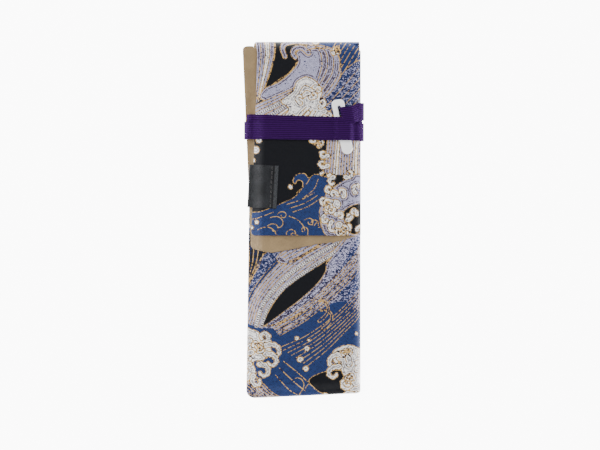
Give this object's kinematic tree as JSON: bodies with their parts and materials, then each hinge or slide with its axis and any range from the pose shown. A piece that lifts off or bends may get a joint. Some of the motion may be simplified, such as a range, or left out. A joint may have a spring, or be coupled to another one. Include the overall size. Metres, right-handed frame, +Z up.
{
  "type": "brush roll case",
  "caption": "Folded brocade case for brushes, with a fold-over flap, padded leaves, sewn brush pockets, a leather label and an elastic strap held by a plastic claw.",
  "frame": {"origin": "centre of the closed case's bounding box at the height of its resting face", "axes": "+X towards the side fold, +Y towards the top fold, +Z up out of the front"},
  "size_m": [0.0626, 0.184, 0.0184],
  "materials": {
    "brocade": "woven wave pattern in deep blue, navy, lilac grey and white with dull gold thread",
    "padding": "soft white felt",
    "lining": "plain khaki cotton twill",
    "binding": "folded lilac grey cotton tape",
    "thread": "matching sewing thread",
    "label_leather": "fine grained black leather",
    "label_thread": "grey waxed thread",
    "elastic": "ribbed purple elastic",
    "tack_thread": "dark red sewing thread",
    "claw_plastic": "glossy moulded white plastic"
  },
  "bodies": {
    "back_leaf": {"back_brocade": "brocade", "back_padding": "padding", "back_lining": "lining", "pocket_cloth": "lining", "pocket_binding": "binding", "pocket_stitching": "thread", "spine_brocade": "brocade", "spine_padding": "padding", "spine_lining": "lining", "top_fold_brocade": "brocade", "top_fold_lining": "lining"},
    "front_leaf": {"front_lining": "lining", "front_padding": "padding", "front_brocade": "brocade", "inner_fold_brocade": "brocade", "inner_fold_lining": "lining"},
    "outer_flap": {"outer_flap_lining": "lining", "outer_flap_brocade": "brocade", "leather_label": "label_leather", "label_stitching": "label_thread", "flap_side_lining": "lining", "flap_side_brocade": "brocade"},
    "under_flap": {"under_flap_brocade": "brocade", "under_flap_lining": "lining"},
    "strap": {"strap_inner_wrap": "elastic", "strap_outer_wrap": "elastic", "strap_tail": "elastic"},
    "claw": {"claw": "claw_plastic", "strap_end_loop": "elastic", "loop_bar_tack": "tack_thread"}
  },
  "joints": [
    {"name": "leaf_open", "type": "hinge", "parent": "back_leaf", "child": "front_leaf", "pos_m": [0.0265, 0, 0.00545], "axis": [0, 1, 0], "range_deg": [0, 180], "deforming": ["front_lining", "front_padding", "front_brocade", "inner_fold_brocade", "inner_fold_lining", "spine_brocade", "spine_padding", "spine_lining", "outer_flap_lining", "outer_flap_brocade", "flap_side_lining", "flap_side_brocade", "under_flap_brocade", "under_flap_lining", "strap_inner_wrap", "strap_outer_wrap", "strap_tail"]},
    {"name": "flap_open", "type": "hinge", "parent": "back_leaf", "child": "outer_flap", "pos_m": [0, 0.0887, 0.00725], "axis": [-1, 0, 0], "range_deg": [0, 180], "deforming": ["top_fold_brocade", "top_fold_lining"]},
    {"name": "under_flap_turn", "type": "hinge", "parent": "outer_flap", "child": "under_flap", "pos_m": [0.0285, 0, 0.01255], "axis": [0, 1, 0], "range_deg": [-180, 0]},
    {"name": "strap_off", "type": "slide", "parent": "back_leaf", "child": "strap", "axis": [0, -1, 0], "range_m": [0, 0.161]},
    {"name": "claw_out", "type": "slide", "parent": "strap", "child": "claw", "axis": [-0.1874, 0.9823, 0], "range_m": [0, 0.024], "deforming": ["strap_end_loop"]}
  ],
  "couplings": [
    {"joint": "under_flap_turn", "follows": "leaf_open", "ratio": -1},
    {"joint": "strap_off", "follows": "leaf_open", "m_per_rad": 0.0509}
  ]
}
